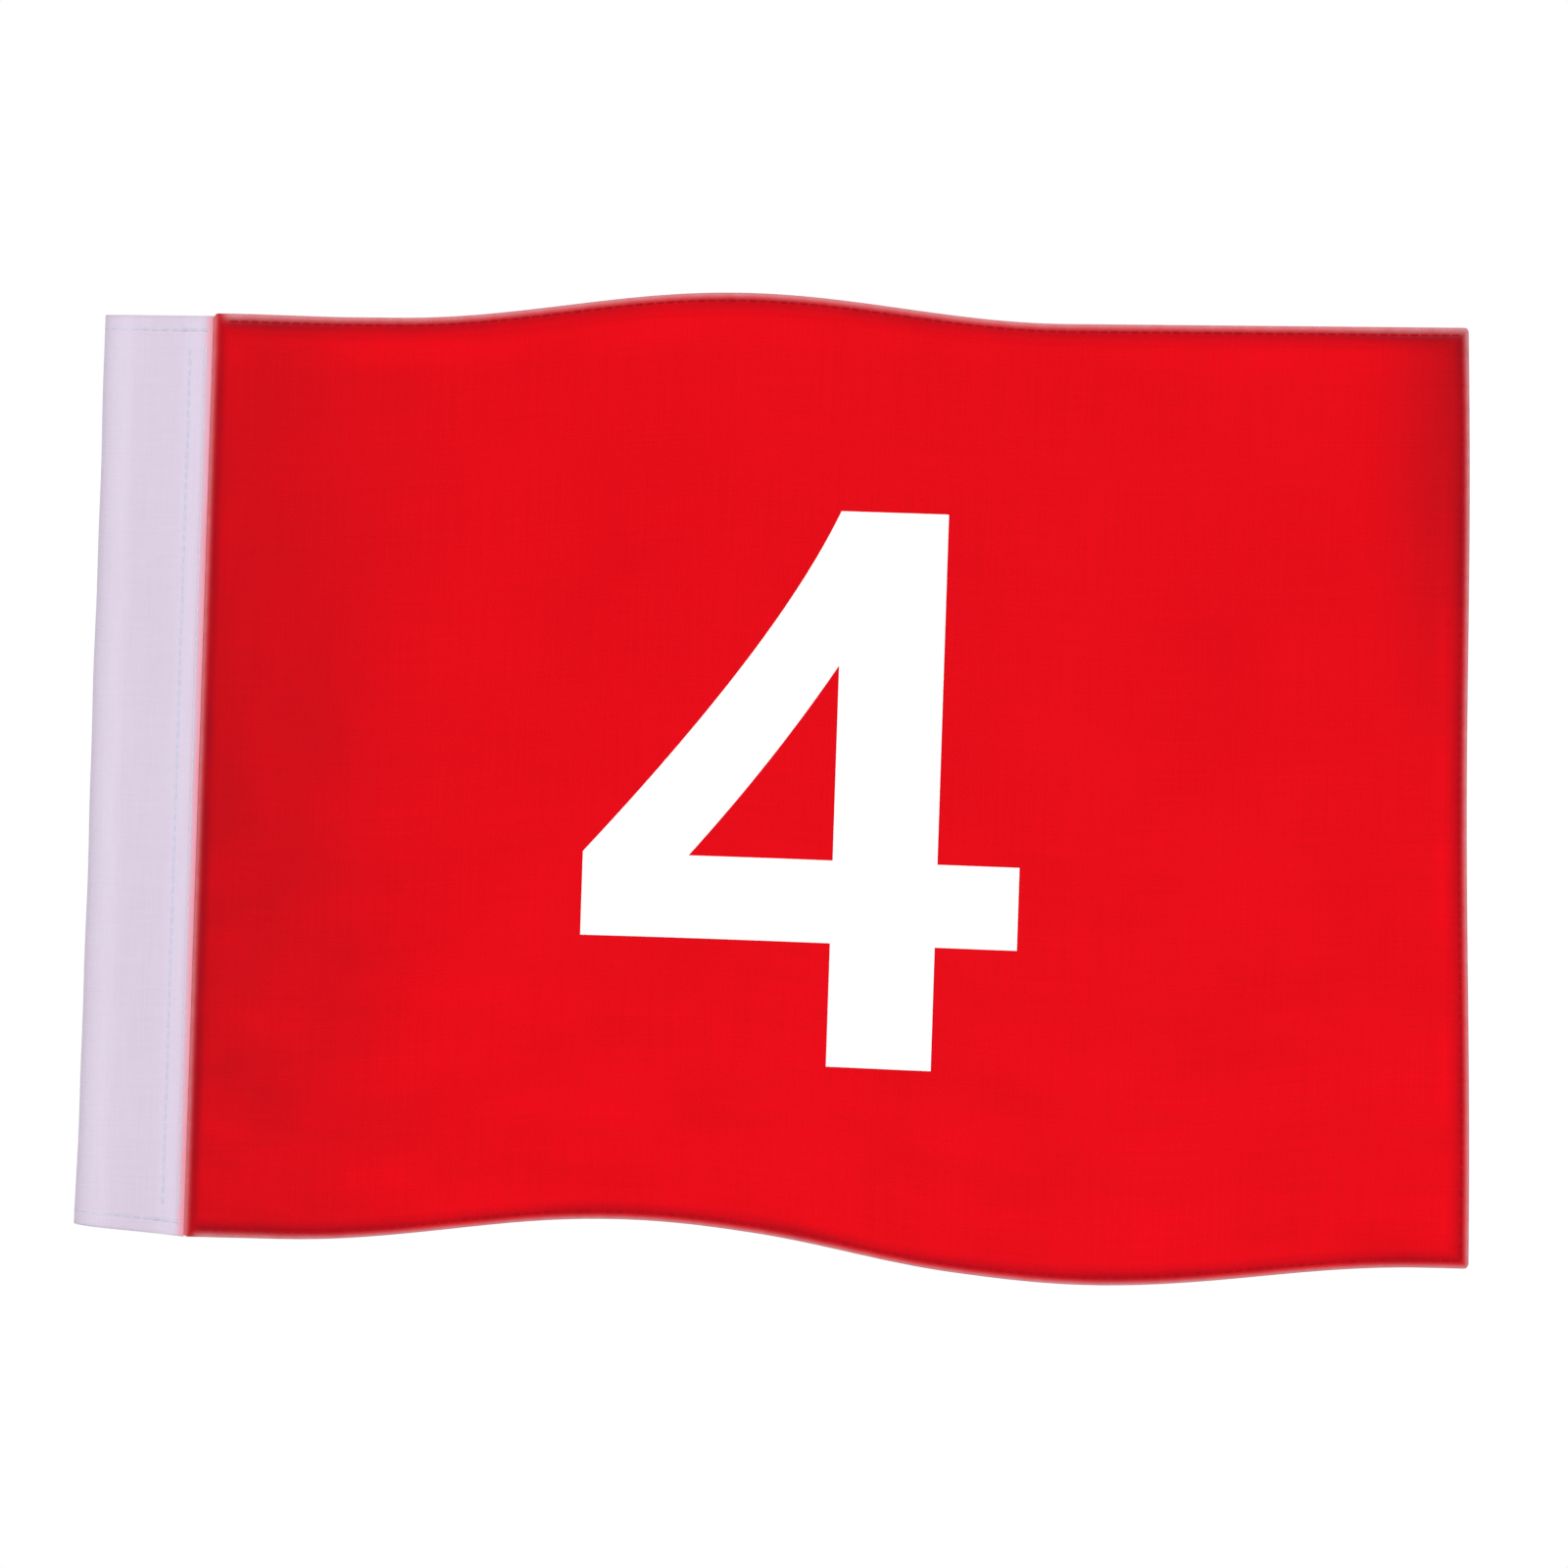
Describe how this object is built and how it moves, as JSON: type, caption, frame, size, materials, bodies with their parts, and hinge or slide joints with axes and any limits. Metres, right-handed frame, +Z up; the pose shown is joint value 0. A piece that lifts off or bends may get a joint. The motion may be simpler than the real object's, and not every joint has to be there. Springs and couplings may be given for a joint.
{
  "type": "golf flag",
  "caption": "Red rectangular golf flag with a white numeral on each face, sewn to a white sleeve that turns on a plastic tube for the top of a flagstick.",
  "frame": {"origin": "on the axis of the stick tube, halfway along it", "axes": "+Z up along the tube, +X from the tube to the flag's free edge, -Y out of the front face"},
  "size_m": [0.5384, 0.0332, 0.3784],
  "materials": {
    "flag_nylon": "plain-woven nylon, slight sheen",
    "sleeve_canvas": "plain-woven polyester, matt",
    "number_film": "heat-pressed film, satin",
    "tube_plastic": "extruded, smooth",
    "white_thread": "spun polyester thread",
    "red_thread": "spun polyester thread"
  },
  "bodies": {
    "tube": {"tube_insert": "tube_plastic"},
    "sleeve": {"pole_sleeve": "sleeve_canvas", "seam_thread_outer": "white_thread", "seam_thread_inner": "white_thread", "sleeve_top_hem_thread": "white_thread", "sleeve_bottom_hem_thread": "white_thread"},
    "fly": {"fly_panel": "flag_nylon", "number_front": "number_film", "number_back": "number_film", "top_hem_thread": "red_thread", "bottom_hem_thread": "red_thread", "fly_hem_thread": "red_thread"}
  },
  "joints": [
    {"name": "sleeve_swivel", "type": "hinge", "parent": "tube", "child": "sleeve", "pos_m": [0, 0, 0], "axis": [0, 0, 1], "continuous": true},
    {"name": "fly_fold", "type": "hinge", "parent": "sleeve", "child": "fly", "pos_m": [0.03294, 0, 0], "axis": [0, 0, 1], "range_deg": [-75, 75]}
  ]
}
